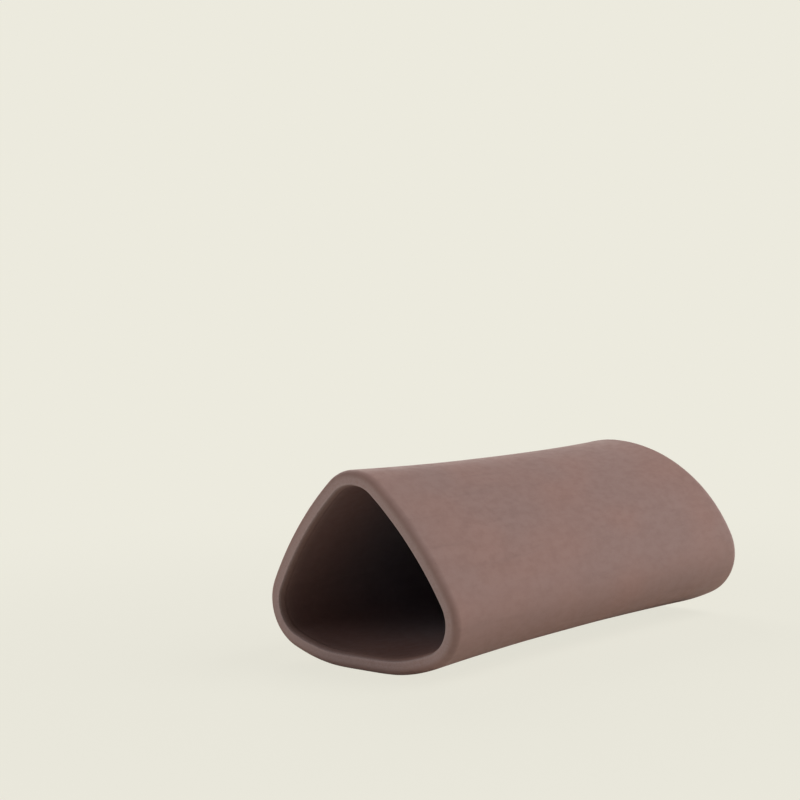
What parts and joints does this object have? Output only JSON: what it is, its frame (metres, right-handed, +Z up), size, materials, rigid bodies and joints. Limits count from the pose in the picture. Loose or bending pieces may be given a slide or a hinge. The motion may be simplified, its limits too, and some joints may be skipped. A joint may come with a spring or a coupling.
{
  "type": "ceramic cave ornament",
  "caption": "Fired-clay spawning cave for bottom-dwelling fish: a hollow tube of rounded triangular section, open at the mouth and closed at the far end.",
  "frame": {"origin": "bottom centre: on the plane that the two rubbed feet rest on, midway between the sides and midway along the overall length", "axes": "+Z up, +Y from the open mouth to the closed end, +X to the right seen from in front of the mouth"},
  "size_m": [0.0806, 0.1274, 0.0514],
  "materials": {
    "tube_clay": "matte unglazed mauve-brown fired clay",
    "slab_clay": "matte unglazed mauve-brown fired clay",
    "coil_clay": "matte unglazed clay, wiped while wet"
  },
  "bodies": {
    "root": {"cave_tube": "tube_clay", "end_wall": "slab_clay", "seam_coil": "coil_clay"}
  },
  "joints": []
}
